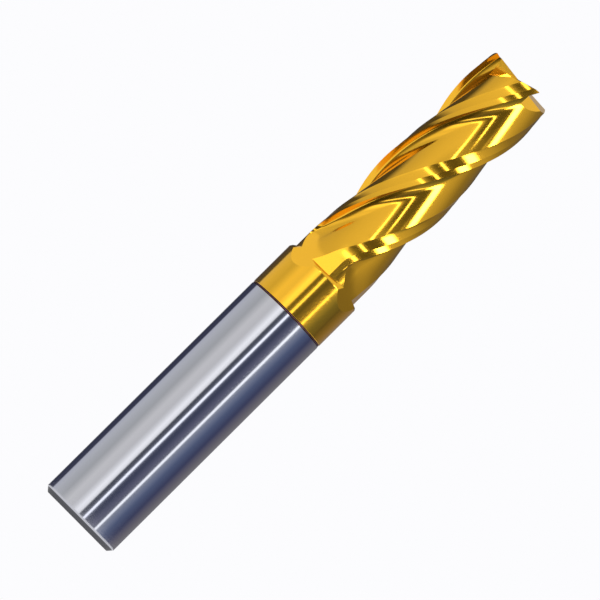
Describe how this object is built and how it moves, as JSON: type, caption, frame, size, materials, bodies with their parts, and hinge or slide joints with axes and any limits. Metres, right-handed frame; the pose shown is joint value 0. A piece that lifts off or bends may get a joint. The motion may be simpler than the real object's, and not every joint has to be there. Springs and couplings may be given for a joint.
{
  "type": "end mill",
  "caption": "Upright square end mill with helical flutes, a stepped gold-coated cutting head and a plain round bright shank.",
  "frame": {"origin": "middle of the flat rear face of the shank", "axes": "+Z along the tool's axis toward the cutting end; X and Y across the shank"},
  "size_m": [0.0096, 0.0096, 0.0648],
  "materials": {
    "shank_steel": "cylindrical ground and polished hardened steel",
    "silver_braze": "oxidised silver braze line",
    "gold_coated_carbide": "ground tungsten carbide with a titanium nitride coating"
  },
  "bodies": {
    "root": {"shank": "shank_steel", "braze_joint": "silver_braze", "cutting_head": "gold_coated_carbide"}
  },
  "joints": []
}
